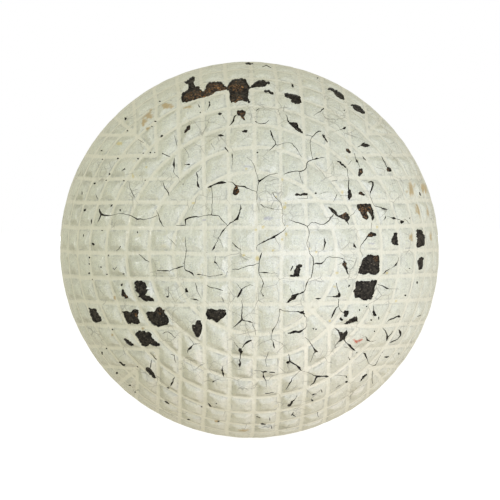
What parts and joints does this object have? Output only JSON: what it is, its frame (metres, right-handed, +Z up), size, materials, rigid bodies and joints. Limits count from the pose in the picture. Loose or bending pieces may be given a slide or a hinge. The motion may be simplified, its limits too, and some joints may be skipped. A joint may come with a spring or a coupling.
{
  "type": "gutta-percha golf ball",
  "caption": "Solid golf ball of moulded gutta-percha with a mesh of grooves and raised pads, under a cracked and chipped film of off-white paint.",
  "frame": {"origin": "centre of the ball", "axes": "+Y along the mould's axis, away from the viewer of the picture; the parting line lies in the plane Y = 0; +X to the viewer's right; +Z up"},
  "size_m": [0.0434, 0.0434, 0.0434],
  "materials": {
    "gutta_percha": "dull near-black moulded gum with brown, weathered patches",
    "paint": "aged off-white oil paint with a low gloss, cream in the grooves, cracked and chipped"
  },
  "bodies": {
    "root": {"gutta_percha_body": "gutta_percha", "paint_film": "paint"}
  },
  "joints": []
}
